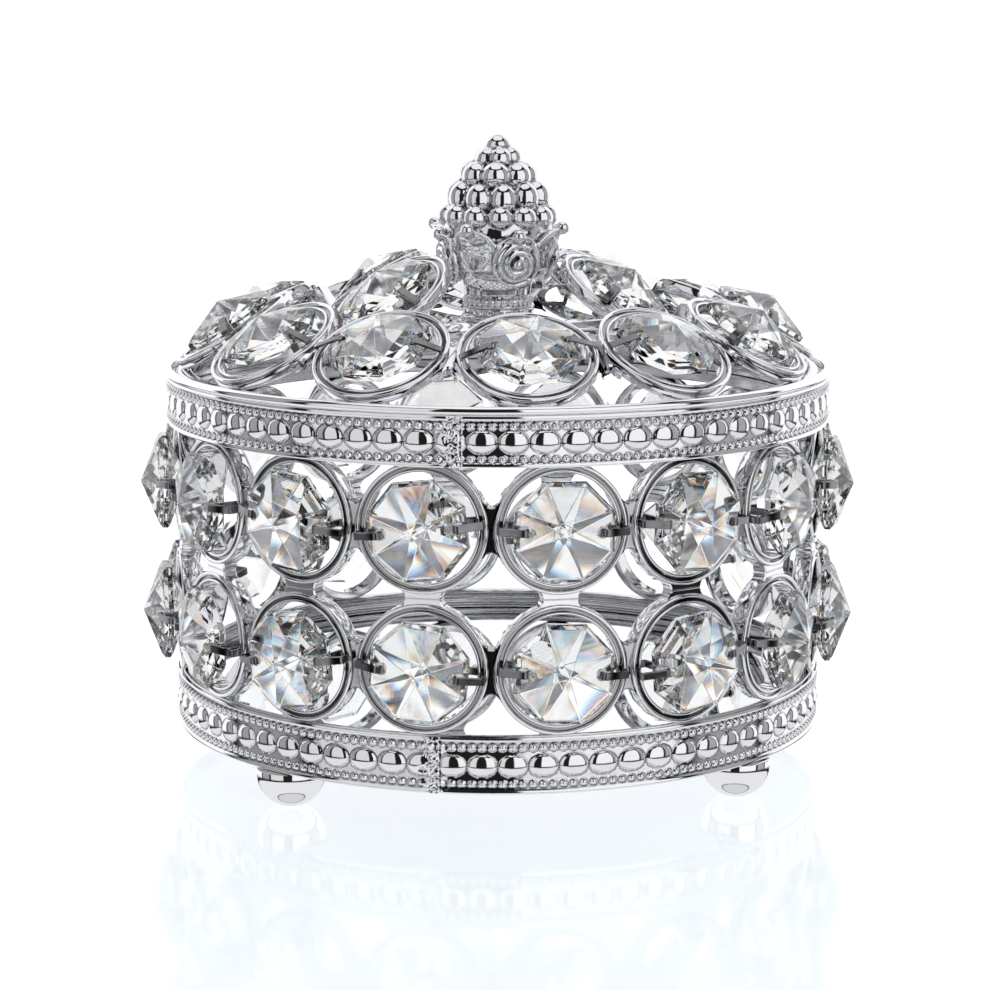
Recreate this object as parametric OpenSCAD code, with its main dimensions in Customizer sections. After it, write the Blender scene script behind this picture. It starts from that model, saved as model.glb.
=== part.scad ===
// Round vanity trinket box. A wall of two rows of rings holds faceted glass beads, and a
// lattice lid of the same rings and beads lifts straight off by its fruit-cluster finial.
// Millimetres, +Z up. The origin is on the table, on the box's centre line.

/* [Base] */
// Outer radius of the trim band round the base
base_r = 50; // [49.5:0.1:50.4]
// Height of both trim bands
band_h = 8.1; // [7.4:0.1:8.1]
// Sheet thickness of the trim bands
band_t = 0.8; // [0.6:0.05:0.8]
// Height of the base band's lower edge above the table
band_z = 5.7; // [5.7:0.1:6.1]
// Radius of a ball foot
foot_r = 5; // [4.4:0.1:5]
// Distance of a foot from the centre line
foot_place_r = 46; // [45:0.1:46]
// Turn of the first foot from the front
foot_turn = -40.6; // [-60:0.1:60]
// Thickness of the mirror plate on the floor
mirror_t = 2; // [1:0.1:2.2]
// Radius of the mirror plate
mirror_r = 46.6; // [40:0.1:47]

/* [Wall] */
// Distance from the centre line to the middle plane of each wall ring
wall_r = 48; // [47.9:0.05:48.1]
// Outer radius of a wall ring
ring_r = 9.35; // [9.2:0.05:9.4]
// Bore radius of a wall ring
ring_bore_r = 7.85; // [7.6:0.05:7.9]
// Depth of a ring, from back to front
ring_depth = 3; // [2.6:0.1:3]
// Height of the lower row's ring centres
lower_z = 23.3; // [23.2:0.05:23.4]
// Distance between the two rows
row_pitch = 20; // [19.9:0.05:20.1]
// Turn of the first ring from the front
ring_turn = 10.25; // [0:0.25:22.5]

/* [Beads] */
// Width of a bead across its flats
bead_flats = 14; // [13.2:0.1:14]
// Thickness of a bead from point to point
bead_thick = 7; // [6:0.1:7.2]
// Thickness of a bead's plain edge
bead_edge = 1; // [0.6:0.1:1.2]
// Distance of a bead's middle in front of its ring's middle plane
bead_stand = 3.45; // [3.3:0.05:3.6]
// Distance of each bead hole from the bead's middle
hole_x = 5.2; // [5:0.05:5.4]
// Radius of a bead hole
hole_r = 0.75; // [0.7:0.05:0.85]
// Width of the flat clip wire
clip_w = 1.1; // [0.8:0.05:1.1]
// Thickness of the flat clip wire
clip_t = 0.4; // [0.3:0.05:0.4]

/* [Lid] */
// Outer radius of the lid's trim band and rim wire
rim_r = 51; // [50.9:0.05:51.2]
// Height of the lid band's lower edge
lid_z = 52.1; // [52:0.05:52.2]
// Radius of the lid's rim wire section
rim_wire_r = 0.65; // [0.5:0.05:0.65]
// Depth of a lid ring, from back to front
lid_ring_depth = 2; // [1.8:0.1:2]
// Distance of a lid bead's middle in front of its ring's middle plane
lid_stand = 1.8; // [1.8:0.05:2.2]
// Distance from the centre line to the outer row's ring centres
outer_row_r = 40; // [39.95:0.05:40.1]
// Height of the outer row's ring centres
outer_row_z = 65.5; // [65.4:0.05:65.6]
// Slope of the outer row's rings
outer_tilt = 30.5; // [30:0.1:31]
// Outer radius of an outer row ring
outer_ring_r = 10; // [9.8:0.05:10]
// Bore radius of an outer row ring
outer_bore_r = 8.4; // [8:0.05:8.4]
// Distance from the centre line to the inner row's ring centres
inner_row_r = 19.5; // [19.5:0.05:19.6]
// Height of the inner row's ring centres
inner_row_z = 70.9; // [70.8:0.05:70.9]
// Slope of the inner row's rings
inner_tilt = 35; // [34.8:0.1:35.2]
// Outer radius of an inner row ring
inner_ring_r = 9.7; // [9.5:0.05:9.7]
// Bore radius of an inner row ring
inner_bore_r = 8.1; // [7.8:0.05:8.2]
// Turn of the lid's first ring from the front
lid_turn = 6; // [0:0.5:30]

/* [Finial] */
// Height of the finial's tip
tip_z = 95; // [94:0.1:96]
// Radius of the finial's neck
neck_r = 5.2; // [4.6:0.1:5.4]
// Widest radius of the finial's leaf crown
crown_r = 11; // [10:0.1:11.4]
// Radius of the stud that holds the finial
stud_r = 1.5; // [1.2:0.1:1.5]

/* [Hidden] */
WALL_RINGS = 16;
OUTER_RINGS = 12;
INNER_PLACES = 6;
INNER_RINGS = 5;
FEET = 4;
$fn = 64;

// Base tray: floor, upright wall, and the holes for the foot screws
tray_gap = 0.05;
tray_r = base_r - band_t - tray_gap;
tray_bottom = 7;
tray_floor_t = 1.2;
tray_floor = tray_bottom + tray_floor_t;
tray_wall_t = 1.55;
ring_flat = 0.15;
tray_top = lower_z - ring_r + ring_flat;
screw_r = 1;
screw_head_r = 1.5;
screw_head_t = 0.8;
screw_end = 3;
pad_t = 1;
pad_r = 42;
mirror_z = tray_floor + pad_t;
foot_flat = 0.1;
foot_neck_r = 3;
foot_cut = band_z - 0.1;

// Wall: the upper row, the webs that join rings, and the rail round the top
upper_z = lower_z + row_pitch;
web_depth = 2.2;
side_web = [2.6, web_depth, 7.5];
mid_web_w = 5;
web_bite = 0.6;
corner_r = wall_r / cos(180 / WALL_RINGS);
rail_bottom = upper_z + ring_r - ring_flat;
rail_top = rail_bottom + 2;
rail_in_r = 46.4;
rail_out_r = rim_r - band_t - 0.3;
cut = 60;

// Lid: seat, outer and inner rails and the central dish
seat_gap = 0.1;
seat_t = 1;
seat_in_r = 46.6;
lid_in_r = rim_r - band_t - tray_gap;
rim_z = lid_z + band_h - 0.3;
lid_band_top = rim_z - rim_wire_r - 0.05;
dish_r = 8.4;
dish_top_r = 6.2;
dish_bottom = 62.4;
dish_top = 66.7;
stud_hole_r = stud_r + 0.1;
collar_top = 68.7;
stud_bottom = 59.1;
stud_top = 76.5;
washer_t = 0.5;
nut_t = 2.2;
nut_flats = 5.5;

// A small turn for each bead, because hand-fitted beads don't all sit square
function bead_roll(k) = 7 * sin(137 * k + 20);

// Turn of each ring of the crown from the front, where one place is left open
function crown_turn(k) = lid_turn + (k + 1) * 360 / INNER_PLACES;

// Outline of a flat strip of thickness t along a path of points
function unit(v) = v / norm(v);
function side(v) = [-v[1], v[0]];
function path_side(p, i) = side(unit(
    i == 0 ? p[1] - p[0] :
    i == len(p) - 1 ? p[i] - p[i - 1] :
    unit(p[i] - p[i - 1]) + unit(p[i + 1] - p[i])));
function strip_outline(p, t) = concat(
    [for (i = [0:len(p) - 1]) p[i] + path_side(p, i) * t / 2],
    [for (i = [len(p) - 1:-1:0]) p[i] - path_side(p, i) * t / 2]);

// Places its children on the circle of radius r, at the given turn from the front, with
// their own +Z facing outwards and leaning back by the slope
module place(turn, r, z, slope = 90) {
    rotate([0, 0, turn]) translate([0, -r, z]) rotate([slope, 0, 0]) children();
}

// One ring with a double ridge on its front face and a bevelled back
module ring(outer_r, bore_r, depth) {
    half = depth / 2;
    rotate_extrude()
        polygon([[bore_r, -half], [outer_r - 0.35, -half], [outer_r, -0.3],
                 [outer_r, half - 0.35], [outer_r - 0.25, half], [outer_r - 0.5, half],
                 [outer_r - 0.7, half - 0.3], [bore_r + 0.5, half - 0.3],
                 [bore_r + 0.35, half], [bore_r + 0.15, half], [bore_r, half - 0.2]]);
}

// One faceted bead: a point in front and behind, a plain edge, and two drilled holes
module bead() {
    corner_r = bead_flats / 2 / cos(22.5);
    edge = [for (i = [0:7]) corner_r * [cos(22.5 + 45 * i), sin(22.5 + 45 * i)]];
    points = concat([for (p = edge) [p[0], p[1], bead_edge / 2]],
                    [for (p = edge) [p[0], p[1], -bead_edge / 2]],
                    [[0, 0, bead_thick / 2], [0, 0, -bead_thick / 2]]);
    faces = [for (i = [0:7]) let (j = (i + 1) % 8)
                 each [[i, 16, j], [i + 8, j + 8, 17], [i, j, j + 8, i + 8]]];
    difference() {
        polyhedron(points, faces);
        for (s = [-1, 1]) translate([s * hole_x, 0, -bead_thick]) cylinder(r = hole_r, h = 2 * bead_thick);
    }
}

// The pair of clips of one bead. Each goes through a bead hole and grips its ring
module clip_pair(bore_r, depth, stand) {
    half = depth / 2;
    path = [[bore_r + 1.05, half + 0.3], [bore_r + 1.35, stand - 0.15],
            [hole_x + 0.5, stand + 1.45], [hole_x, stand + 1], [hole_x, -half],
            [bore_r - 0.4, -half - 0.25], [bore_r + 1.05, -half - 0.25]];
    for (s = [0, 180])
        rotate([90, 0, s]) translate([0, 0, -clip_w / 2])
            linear_extrude(clip_w) polygon(strip_outline(path, clip_t));
}

// One row of the wall, its rings joined side to side
module wall_row(z, web_from, web_to) {
    for (k = [0:WALL_RINGS - 1]) {
        turn = ring_turn + k * 360 / WALL_RINGS;
        place(turn, wall_r, z) ring(ring_r, ring_bore_r, ring_depth);
        rotate([0, 0, turn + 180 / WALL_RINGS]) translate([0, -corner_r + 0.1, z])
            cube(side_web, center = true);
        rotate([0, 0, turn]) translate([-mid_web_w / 2, -wall_r - web_depth / 2, web_from])
            cube([mid_web_w, web_depth, web_to - web_from]);
    }
}

module base_tray() {
    color("silver") difference() {
        rotate_extrude($fn = 128)
            polygon([[0, tray_bottom], [tray_r, tray_bottom], [tray_r, tray_top],
                     [tray_r - tray_wall_t, tray_top], [tray_r - tray_wall_t, tray_floor],
                     [0, tray_floor]]);
        for (i = [0:FEET - 1]) rotate([0, 0, foot_turn + 90 * i])
            translate([0, -foot_place_r, tray_bottom - 1]) cylinder(r = screw_r + 0.1, h = 4);
    }
}

// A trim band is rolled sheet with a raised line along each edge
module trim_band(r, bottom, top) {
    color("gainsboro") rotate_extrude($fn = 128)
        polygon([[r - band_t, bottom], [r - 0.2, bottom], [r - 0.2, bottom + 0.4],
                 [r, bottom + 0.6], [r, top - 0.6], [r - 0.2, top - 0.4],
                 [r - 0.2, top], [r - band_t, top]]);
}

module base_trim_band() {
    trim_band(base_r, band_z, band_z + band_h);
}

module mirror_pad() {
    color("dimgray") translate([0, 0, tray_floor]) cylinder(r = pad_r, h = pad_t, $fn = 96);
}

module floor_mirror() {
    color("lightcyan") translate([0, 0, mirror_z]) cylinder(r = mirror_r, h = mirror_t, $fn = 96);
}

module wall_rings_lower() {
    color("silver") difference() {
        wall_row(lower_z, lower_z + ring_r - web_bite, lower_z + row_pitch / 2);
        translate([0, 0, tray_top - 5]) cylinder(r = cut, h = 5);
    }
}

module wall_rings_upper() {
    color("silver") difference() {
        wall_row(upper_z, lower_z + row_pitch / 2, upper_z - ring_r + web_bite);
        translate([0, 0, rail_bottom]) cylinder(r = cut, h = 5);
    }
}

module wall_top_rim() {
    color("gainsboro") translate([0, 0, rail_bottom]) difference() {
        cylinder(r = rail_out_r, h = rail_top - rail_bottom, $fn = 128);
        translate([0, 0, -1]) cylinder(r = rail_in_r, h = rail_top - rail_bottom + 2, $fn = 128);
    }
}

module wall_bead(k, z) {
    color("aliceblue") place(ring_turn + k * 360 / WALL_RINGS, wall_r, z)
        rotate([0, 0, bead_roll(k + z)]) translate([0, 0, bead_stand]) bead();
}

module wall_clips(z) {
    color("gray") for (k = [0:WALL_RINGS - 1])
        place(ring_turn + k * 360 / WALL_RINGS, wall_r, z)
            rotate([0, 0, bead_roll(k + z)]) clip_pair(ring_bore_r, ring_depth, bead_stand);
}

module bead_clips_lower() {
    wall_clips(lower_z);
}

module bead_clips_upper() {
    wall_clips(upper_z);
}

module foot(i) {
    color("silver") rotate([0, 0, foot_turn + 90 * i]) translate([0, -foot_place_r, 0]) difference() {
        union() {
            intersection() {
                translate([0, 0, foot_r - foot_flat]) sphere(r = foot_r);
                cylinder(r = 2 * foot_r, h = foot_cut);
            }
            translate([0, 0, foot_cut - 1]) cylinder(r = foot_neck_r, h = tray_bottom - foot_cut + 1);
        }
        translate([0, 0, screw_end - 0.5]) cylinder(r = screw_r + 0.05, h = 2 * foot_r);
    }
}

module foot_screws() {
    color("darkgray") for (i = [0:FEET - 1]) rotate([0, 0, foot_turn + 90 * i])
        translate([0, -foot_place_r, 0]) {
            translate([0, 0, screw_end]) cylinder(r = screw_r, h = tray_floor - screw_end + 0.2);
            translate([0, 0, tray_floor]) cylinder(r = screw_head_r, h = screw_head_t);
        }
}

module lid_trim_band() {
    trim_band(rim_r, lid_z, lid_band_top);
}

module lid_rim_wire() {
    color("silver") rotate_extrude($fn = 128)
        translate([rim_r - rim_wire_r, rim_z]) circle(r = rim_wire_r, $fn = 32);
}

module lid_seat_ring() {
    color("gainsboro") translate([0, 0, rail_top + seat_gap]) difference() {
        cylinder(r = lid_in_r, h = seat_t, $fn = 128);
        translate([0, 0, -1]) cylinder(r = seat_in_r, h = seat_t + 2, $fn = 128);
    }
}

// The sloping row of twelve rings, with the rail that joins it to the band
module lid_rings_outer() {
    rail_z = rim_z - 1.9;
    color("silver") {
        for (k = [0:OUTER_RINGS - 1]) {
            turn = lid_turn + k * 360 / OUTER_RINGS;
            place(turn, outer_row_r, outer_row_z, outer_tilt)
                ring(outer_ring_r, outer_bore_r, lid_ring_depth);
            place(turn + 180 / OUTER_RINGS, outer_row_r + 1.2, outer_row_z, outer_tilt)
                cube([3, 6.5, 1.6], center = true);
        }
        rotate_extrude($fn = 128)
            polygon([[46.8, rail_z], [lid_in_r, rail_z], [lid_in_r, rail_z + 1.15],
                     [lid_in_r - 0.85, rail_z + 1.15], [lid_in_r - 1.25, rail_z + 1.9],
                     [46.8, rail_z + 1.9]]);
    }
}

// The crown of five sloping rings. An arm joins each one to the solid dish that carries the
// finial, and a strut joins it to the ring of the outer row beside it
module lid_rings_inner() {
    arm_r = inner_row_r + inner_ring_r * cos(inner_tilt) + 0.4;
    arm_z = inner_row_z - inner_ring_r * sin(inner_tilt) - 1;
    color("silver") difference() {
        union() {
            for (k = [0:INNER_RINGS - 1]) {
                place(crown_turn(k), inner_row_r, inner_row_z, inner_tilt)
                    ring(inner_ring_r, inner_bore_r, lid_ring_depth);
                place(crown_turn(k), dish_r - 1, arm_z, 0) translate([-1.5, dish_r - 1 - arm_r, 0])
                    cube([3, arm_r - dish_r + 1, 1.2]);
                difference() {
                    place(crown_turn(k), 29.6, 68.2, 0) cube([3, 6, 5.4], center = true);
                    place(crown_turn(k), outer_row_r, outer_row_z, outer_tilt)
                        cylinder(r = outer_ring_r + 0.05, h = 16, center = true);
                }
            }
            rotate_extrude()
                polygon([[0, dish_bottom], [6.5, dish_bottom], [8, dish_bottom + 0.8],
                         [dish_r, dish_bottom + 1.8], [dish_r, dish_bottom + 2.8],
                         [7.6, dish_top - 0.6], [dish_top_r, dish_top], [0, dish_top]]);
        }
        translate([0, 0, dish_bottom - 1]) cylinder(r = stud_hole_r, h = 10);
    }
}

module lid_beads_outer() {
    color("aliceblue") for (k = [0:OUTER_RINGS - 1])
        place(lid_turn + k * 360 / OUTER_RINGS, outer_row_r, outer_row_z, outer_tilt)
            rotate([0, 0, bead_roll(k + 40)]) translate([0, 0, lid_stand]) bead();
}

module lid_clips_outer() {
    color("gray") for (k = [0:OUTER_RINGS - 1])
        place(lid_turn + k * 360 / OUTER_RINGS, outer_row_r, outer_row_z, outer_tilt)
            rotate([0, 0, bead_roll(k + 40)]) clip_pair(outer_bore_r, lid_ring_depth, lid_stand);
}

module lid_beads_inner() {
    color("aliceblue") for (k = [0:INNER_RINGS - 1])
        place(crown_turn(k), inner_row_r, inner_row_z, inner_tilt)
            rotate([0, 0, bead_roll(k + 61)]) translate([0, 0, lid_stand]) bead();
}

module lid_clips_inner() {
    color("gray") for (k = [0:INNER_RINGS - 1])
        place(crown_turn(k), inner_row_r, inner_row_z, inner_tilt)
            rotate([0, 0, bead_roll(k + 61)]) clip_pair(inner_bore_r, lid_ring_depth, lid_stand);
}

// Neck, cup, leaf crown and a cluster that narrows in four tiers to the tip
module finial() {
    color("silver") difference() {
        rotate_extrude()
            polygon([[0, collar_top], [neck_r, collar_top], [neck_r, 71.6], [5.8, 72.4],
                     [7.8, 74.6], [8.8, 77.4], [crown_r, 80.6], [crown_r, 81.6],
                     [9.2, 81.2], [9.2, 83.6], [8, 84.4], [8, 86.8], [6, 87.8], [6, 90],
                     [3.7, 90.8], [3.7, 92.4], [1.9, 93.2], [1.5, tip_z - 0.5],
                     [0.6, tip_z], [0, tip_z]]);
        translate([0, 0, collar_top - 1]) cylinder(r = stud_hole_r, h = stud_top - collar_top + 1.3);
    }
}

module finial_collar() {
    color("silver") difference() {
        rotate_extrude()
            polygon([[0, dish_top], [5.4, dish_top], [5.7, dish_top + 0.4],
                     [5.7, collar_top - 0.4], [5.4, collar_top], [0, collar_top]]);
        translate([0, 0, dish_top - 1]) cylinder(r = stud_hole_r, h = 5);
    }
}

module finial_stud() {
    color("darkgray") translate([0, 0, stud_bottom]) cylinder(r = stud_r, h = stud_top - stud_bottom);
}

module finial_washer() {
    color("darkgray") translate([0, 0, dish_bottom - washer_t]) difference() {
        cylinder(r = 4, h = washer_t);
        translate([0, 0, -1]) cylinder(r = stud_hole_r, h = 3);
    }
}

module finial_nut() {
    color("darkgray") translate([0, 0, dish_bottom - washer_t - nut_t]) difference() {
        cylinder(r = nut_flats / 2 / cos(30), h = nut_t, $fn = 6);
        translate([0, 0, -1]) cylinder(r = stud_r + 0.05, h = nut_t + 2);
    }
}

base_tray();
base_trim_band();
mirror_pad();
floor_mirror();
wall_rings_lower();
wall_rings_upper();
wall_top_rim();
bead_clips_lower();
bead_clips_upper();
foot_screws();
for (i = [1:FEET])
    foot(i - 1);
for (i = [1:WALL_RINGS])
    wall_bead(i - 1, lower_z);
for (i = [1:WALL_RINGS])
    wall_bead(i - 1, upper_z);
lid_trim_band();
lid_rim_wire();
lid_seat_ring();
lid_rings_outer();
lid_rings_inner();
lid_clips_outer();
lid_clips_inner();
lid_beads_outer();
lid_beads_inner();
finial();
finial_collar();
finial_stud();
finial_washer();
finial_nut();
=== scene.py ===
"""A round vanity trinket box: chromed rings, clipped glass beads, embossed bands and a lift-off lid."""

import math

import bmesh
import bpy
import numpy as np
from mathutils import Matrix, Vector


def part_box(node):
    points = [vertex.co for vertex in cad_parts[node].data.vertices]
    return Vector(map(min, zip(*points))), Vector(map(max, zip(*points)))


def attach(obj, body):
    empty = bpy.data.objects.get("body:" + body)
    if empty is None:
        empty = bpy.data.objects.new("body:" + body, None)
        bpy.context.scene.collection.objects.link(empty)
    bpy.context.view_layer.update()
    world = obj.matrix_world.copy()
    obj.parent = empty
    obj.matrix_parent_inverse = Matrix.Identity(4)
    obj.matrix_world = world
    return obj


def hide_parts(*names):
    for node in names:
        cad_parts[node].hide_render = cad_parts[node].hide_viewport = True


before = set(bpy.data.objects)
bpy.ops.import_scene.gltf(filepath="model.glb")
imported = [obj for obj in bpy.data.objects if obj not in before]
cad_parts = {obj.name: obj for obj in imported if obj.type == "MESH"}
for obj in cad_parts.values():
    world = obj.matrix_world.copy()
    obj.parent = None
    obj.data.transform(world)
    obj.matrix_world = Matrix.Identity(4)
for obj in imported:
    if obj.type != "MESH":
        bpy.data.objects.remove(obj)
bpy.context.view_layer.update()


# ---- Base tray -------------------------------------------------------------------------------
# The pan that everything stands on, rolled from thin steel sheet and chromed. The rolling
# leaves fine level lines on the inside of its upright wall, above the mirror.

MM = 0.001
FINE_TURNS = 240


def turned(profile, turns=FINE_TURNS, closed=True):
    """A shell turned from (radius, height) points. An open profile starts and ends on the axis."""
    profile = np.array(profile, float)
    middle = profile if closed else profile[1:-1]
    angle = np.linspace(0, 2 * math.pi, turns, endpoint=False)[:, None]
    points = np.stack([np.sin(angle) * middle[:, 0], -np.cos(angle) * middle[:, 0],
                       np.zeros_like(angle) + middle[:, 1]], -1).reshape(-1, 3)
    rows = len(middle)
    faces = []
    for t in range(turns):
        here, there = t * rows, (t + 1) % turns * rows
        for i in range(rows if closed else rows - 1):
            j = (i + 1) % rows
            faces.append((here + i, there + i, there + j, here + j))
    if not closed:
        points = np.vstack([points, [0, 0, profile[0, 1]], [0, 0, profile[-1, 1]]])
        low, high = len(points) - 2, len(points) - 1
        for t in range(turns):
            here, there = t * rows, (t + 1) % turns * rows
            faces.append((low, there, here))
            faces.append((high, here + rows - 1, there + rows - 1))
    return points, faces


def rounded(outline, radius, steps=4, closed=True):
    """The outline with each corner turned into an arc of about that radius."""
    made = []
    count = len(outline)
    for i in range(count):
        corner = np.array(outline[i], float)
        if not closed and i in (0, count - 1):
            made.append(corner)
            continue
        back = np.array(outline[i - 1], float) - corner
        ahead = np.array(outline[(i + 1) % count], float) - corner
        reach = min(radius, 0.49 * np.linalg.norm(back), 0.49 * np.linalg.norm(ahead))
        start = corner + back / np.linalg.norm(back) * reach
        end = corner + ahead / np.linalg.norm(ahead) * reach
        for t in np.linspace(0, 1, steps + 1):
            made.append(start * (1 - t) ** 2 + corner * 2 * t * (1 - t) + end * t ** 2)
    return made


def make_piece(name, shells, finish, crease=38):
    """One piece from closed shells in millimetres, smooth except over edges sharper than the crease."""
    faces, first = [], 0
    for points, shell_faces in shells:
        faces += [tuple(first + i for i in face) for face in shell_faces]
        first += len(points)
    mesh = bpy.data.meshes.new(name)
    mesh.from_pydata(np.concatenate([points for points, _ in shells]) * MM, [], faces)
    tidy = bmesh.new()
    tidy.from_mesh(mesh)
    bmesh.ops.recalc_face_normals(tidy, faces=tidy.faces)
    tidy.to_mesh(mesh)
    tidy.free()
    mesh.shade_smooth()
    mesh.set_sharp_from_angle(angle=math.radians(crease))
    mesh.materials.append(finish)
    piece = bpy.data.objects.new(name, mesh)
    bpy.context.scene.collection.objects.link(piece)
    return piece


def new_group(name, numbers, results):
    """A shader node group with number inputs, given as name and default, and named results."""
    group = bpy.data.node_groups.new(name, "ShaderNodeTree")
    for label, value in numbers.items():
        number = group.interface.new_socket(label, in_out="INPUT", socket_type="NodeSocketFloat")
        number.default_value = value
    for label, kind in results.items():
        group.interface.new_socket(label, in_out="OUTPUT", socket_type=kind)
    return group, group.nodes.new("NodeGroupInput"), group.nodes.new("NodeGroupOutput")


def math_node(tree, operation, first, second):
    """A Math node whose two values are numbers or sockets."""
    node = tree.nodes.new("ShaderNodeMath")
    node.operation = operation
    for socket, value in zip(node.inputs, (first, second)):
        if isinstance(value, (int, float)):
            socket.default_value = value
        else:
            tree.links.new(value, socket)
    return node.outputs[0]


def noise_node(tree, vector, scale, detail=2.0):
    """A Noise Texture's factor at that vector; the scale is a number or a socket."""
    node = tree.nodes.new("ShaderNodeTexNoise")
    node.inputs["Detail"].default_value = detail
    tree.links.new(vector, node.inputs["Vector"])
    if isinstance(scale, (int, float)):
        node.inputs["Scale"].default_value = scale
    else:
        tree.links.new(scale, node.inputs["Scale"])
    return node.outputs["Fac"]


# Handling wear on polished metal: cloudy patches that haze the shine and hairline scratches that
# run level round the piece, plus a crevice mask for painted shade that darkens hollow corners.
wear_and_shade, given, result = new_group(
    "wear_and_crevice_shade", {"Haze": 0.05, "Patch Scale": 180.0, "Hairlines": 0.5},
    {"Roughness": "NodeSocketFloat", "Height": "NodeSocketFloat", "Patches": "NodeSocketFloat",
     "Crevice Shade": "NodeSocketFloat"})
place_on = wear_and_shade.nodes.new("ShaderNodeTexCoord").outputs["Object"]
patches = noise_node(wear_and_shade, place_on, given.outputs["Patch Scale"], 4.0)
stretch = wear_and_shade.nodes.new("ShaderNodeMapping")
stretch.inputs["Scale"].default_value = (1, 1, 14)
wear_and_shade.links.new(place_on, stretch.inputs["Vector"])
hairs = noise_node(wear_and_shade, stretch.outputs["Vector"], 900.0, 3.0)
hazed = math_node(wear_and_shade, "MULTIPLY", math_node(wear_and_shade, "ADD", patches, 0.35), given.outputs["Haze"])
wear_and_shade.links.new(hazed, result.inputs["Roughness"])
wear_and_shade.links.new(math_node(wear_and_shade, "MULTIPLY", hairs, given.outputs["Hairlines"]),
                   result.inputs["Height"])
wear_and_shade.links.new(patches, result.inputs["Patches"])
# Mask for painted shade: near 1 in concave places, found by pointiness, where the hollows are darkened.
hollow = wear_and_shade.nodes.new("ShaderNodeMapRange")
hollow.inputs["From Min"].default_value = 0.497
hollow.inputs["From Max"].default_value = 0.455
pointiness = wear_and_shade.nodes.new("ShaderNodeNewGeometry").outputs["Pointiness"]
wear_and_shade.links.new(pointiness, hollow.inputs["Value"])
wear_and_shade.links.new(hollow.outputs["Result"], result.inputs["Crevice Shade"])


def metal(name, light, dark, haze, patch_scale, hairlines, relief, crevice_shade_tone=0.12):
    """A bare or plated metal with wear from being handled; light and dark are its two tones, and the
    last argument is the tone of the painted shade that darkens its hollows."""
    material = bpy.data.materials.new(name)
    material.use_nodes = True
    tree = material.node_tree
    shader = tree.nodes["Principled BSDF"]
    shader.inputs["Metallic"].default_value = 1.0
    wear_and_shade_node = tree.nodes.new("ShaderNodeGroup")
    wear_and_shade_node.node_tree = wear_and_shade
    wear_and_shade_node.inputs["Haze"].default_value = haze
    wear_and_shade_node.inputs["Patch Scale"].default_value = patch_scale
    wear_and_shade_node.inputs["Hairlines"].default_value = hairlines
    tone = tree.nodes.new("ShaderNodeMix")
    tone.data_type = "RGBA"
    tone.inputs["A"].default_value = (*dark, 1)
    tone.inputs["B"].default_value = (*light, 1)
    tree.links.new(wear_and_shade_node.outputs["Patches"], tone.inputs["Factor"])
    # Painted shade: the crevice mask darkens the hollows towards a flat dark tone.
    painted_crevice_shade = tree.nodes.new("ShaderNodeMix")
    painted_crevice_shade.data_type = "RGBA"
    painted_crevice_shade.inputs["B"].default_value = (crevice_shade_tone, crevice_shade_tone, crevice_shade_tone + 0.01, 1)
    tree.links.new(wear_and_shade_node.outputs["Crevice Shade"], painted_crevice_shade.inputs["Factor"])
    tree.links.new(tone.outputs["Result"], painted_crevice_shade.inputs["A"])
    tree.links.new(painted_crevice_shade.outputs["Result"], shader.inputs["Base Color"])
    tree.links.new(wear_and_shade_node.outputs["Roughness"], shader.inputs["Roughness"])
    bump = tree.nodes.new("ShaderNodeBump")
    bump.inputs["Strength"].default_value = 0.4
    bump.inputs["Distance"].default_value = relief
    tree.links.new(wear_and_shade_node.outputs["Height"], bump.inputs["Height"])
    tree.links.new(bump.outputs["Normal"], shader.inputs["Normal"])
    return material


rolled_chrome = metal("rolled_chrome", (0.88, 0.88, 0.9), (0.6, 0.6, 0.63), 0.14, 90.0, 1.0, 0.00004)

TRAY_FLOOR_THICK = 1.2
TRAY_WALL_THICK = 1.55
ROLLED_LINES = 36
LINE_DEPTH = 0.1

tray_low, tray_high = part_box("base_tray")
tray_r = tray_high.x / MM
tray_bottom, tray_top = tray_low.z / MM, tray_high.z / MM
tray_floor = tray_bottom + TRAY_FLOOR_THICK
tray_in_r = tray_r - TRAY_WALL_THICK
line_random = np.random.default_rng(4)
line_heights = np.linspace(tray_top - 0.4, tray_floor + 0.5, ROLLED_LINES)
rolled_wall = [(tray_in_r + LINE_DEPTH * line_random.uniform(-1, 1), z) for z in line_heights]
tray_edge = rounded([(tray_r, tray_bottom), (tray_r, tray_top), (tray_in_r, tray_top)], 0.3, closed=False)
tray_profile = [(0, tray_bottom), *tray_edge[:-1], *rolled_wall, (tray_in_r, tray_floor), (0, tray_floor)]
base_tray = make_piece("base_tray_rolled", [turned(tray_profile, closed=False)], rolled_chrome, 60)
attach(base_tray, "box")
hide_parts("base_tray")


# ---- Base trim band --------------------------------------------------------------------------
# A strip of brass sheet pressed with a row of oval beads between two rows of tiny ones, bent
# round the tray, its ends soldered at the front, then chromed. The solder is left lumpy.

OVALS = 72
SMALL_PER_OVAL = 3
COLUMNS_PER_OVAL = 24
ROWS = 48
OVAL_SIZE = (4.1, 3.25)
OVAL_RISE = 0.6
SMALL_R = 0.5
SMALL_RISE = 0.4
EDGE_LIP = 0.3
BAND_THICK = 0.8
BASE_SMALL_IN = 1.4
BASE_SEAM_TURN = -10.5

band_chrome = metal("band_chrome", (0.95, 0.95, 0.96), (0.8, 0.8, 0.83), 0.06, 260.0, 0.3, 0.00002)


def lumps(x, y, seed):
    """Smooth random lumps from 0 to 1 over arrays x and y, one lump to each unit."""
    table = np.random.default_rng(seed).random((64, 64))
    left, low = np.floor(x).astype(int), np.floor(y).astype(int)
    across, up = x - left, y - low
    across, up = across * across * (3 - 2 * across), up * up * (3 - 2 * up)

    def at(i, j):
        return table[(left + i) % 64, (low + j) % 64]

    return ((at(0, 0) * (1 - across) + at(1, 0) * across) * (1 - up)
            + (at(0, 1) * (1 - across) + at(1, 1) * across) * up)


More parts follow.
